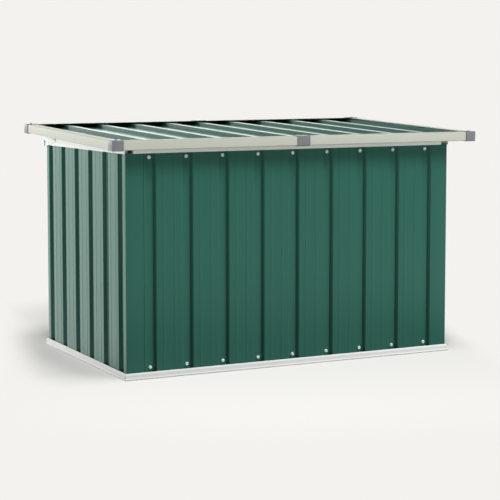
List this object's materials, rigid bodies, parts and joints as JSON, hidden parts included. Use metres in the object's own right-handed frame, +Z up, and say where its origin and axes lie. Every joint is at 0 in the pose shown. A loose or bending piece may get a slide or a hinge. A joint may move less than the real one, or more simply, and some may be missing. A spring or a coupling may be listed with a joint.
{
  "type": "steel storage box",
  "caption": "Steel garden storage box with corrugated sides in channel rails and an overhanging framed lid that opens on rear side pivots, carried by gas struts.",
  "frame": {"origin": "on the floor, under the middle of the lid's outline", "axes": "+X to the right along the long front, +Y to the back, +Z up; the lid opens at the front"},
  "size_m": [1.093, 0.6866, 0.6439],
  "materials": {
    "green_sheet": "satin paint",
    "white_rail": "satin paint",
    "pale_rail": "satin paint",
    "grey_plastic": "fine grain",
    "bright_zinc": "zinc plated",
    "black_tube": "satin paint",
    "chrome_rod": "polished"
  },
  "bodies": {
    "box": {"base_rail_front": "white_rail", "top_rail_front": "white_rail", "front_panel": "green_sheet", "base_rail_right": "white_rail", "top_rail_right": "white_rail", "right_panel": "green_sheet", "base_rail_back": "white_rail", "top_rail_back": "white_rail", "back_panel": "green_sheet", "base_rail_left": "white_rail", "top_rail_left": "white_rail", "left_panel": "green_sheet", "corner_panel_front_left": "green_sheet", "corner_post_front_left": "bright_zinc", "corner_panel_front_right": "green_sheet", "corner_post_front_right": "bright_zinc", "corner_panel_back_right": "green_sheet", "corner_post_back_right": "bright_zinc", "corner_panel_back_left": "green_sheet", "corner_post_back_left": "bright_zinc", "hinge_plate_left": "white_rail", "hinge_bolt_left": "bright_zinc", "hinge_nut_left": "bright_zinc", "strut_mount_left": "bright_zinc", "hinge_plate_right": "white_rail", "hinge_bolt_right": "bright_zinc", "hinge_nut_right": "bright_zinc", "strut_mount_right": "bright_zinc"},
    "lid": {"lid_rail_left": "pale_rail", "lid_rail_right": "pale_rail", "lid_rail_front_left": "pale_rail", "lid_rail_front_right": "pale_rail", "lid_rail_back_left": "pale_rail", "lid_rail_back_right": "pale_rail", "lid_sleeve_front": "grey_plastic", "lid_sleeve_back": "grey_plastic", "lid_cap_front_left": "grey_plastic", "lid_cap_front_right": "grey_plastic", "lid_cap_back_right": "grey_plastic", "lid_cap_back_left": "grey_plastic", "lid_sheet_left": "green_sheet", "lid_sheet_middle": "green_sheet", "lid_sheet_right": "green_sheet", "lid_stiffener_front": "bright_zinc", "lid_stiffener_rear": "bright_zinc", "hinge_arm_left": "bright_zinc", "strut_lug_left": "bright_zinc", "hinge_arm_right": "bright_zinc", "strut_lug_right": "bright_zinc"},
    "strut_tube_left": {"strut_tube_left": "black_tube"},
    "strut_rod_left": {"strut_rod_left": "chrome_rod"},
    "strut_tube_right": {"strut_tube_right": "black_tube"},
    "strut_rod_right": {"strut_rod_right": "chrome_rod"}
  },
  "joints": [
    {"name": "lid_hinge", "type": "hinge", "parent": "box", "child": "lid", "pos_m": [0, 0.32319, 0.586], "axis": [-1, 0, 0], "range_deg": [0, 75]},
    {"name": "strut_tube_pivot_left", "type": "hinge", "parent": "box", "child": "strut_tube_left", "pos_m": [-0.462, 0.22319, 0.32447], "axis": [-1, 0, 0], "range_deg": [0, 37.5]},
    {"name": "strut_rod_pivot_left", "type": "hinge", "parent": "lid", "child": "strut_rod_left", "pos_m": [-0.462, 0.04337, 0.596], "axis": [-1, 0, 0], "range_deg": [-37.5, 0]},
    {"name": "strut_tube_pivot_right", "type": "hinge", "parent": "box", "child": "strut_tube_right", "pos_m": [0.462, 0.22319, 0.32447], "axis": [-1, 0, 0], "range_deg": [0, 37.5]},
    {"name": "strut_rod_pivot_right", "type": "hinge", "parent": "lid", "child": "strut_rod_right", "pos_m": [0.462, 0.04337, 0.596], "axis": [-1, 0, 0], "range_deg": [-37.5, 0]}
  ],
  "couplings": [
    {"joint": "strut_tube_pivot_left", "follows": "lid_hinge", "ratio": 0.5},
    {"joint": "strut_rod_pivot_left", "follows": "lid_hinge", "ratio": -0.5},
    {"joint": "strut_tube_pivot_right", "follows": "lid_hinge", "ratio": 0.5},
    {"joint": "strut_rod_pivot_right", "follows": "lid_hinge", "ratio": -0.5}
  ]
}
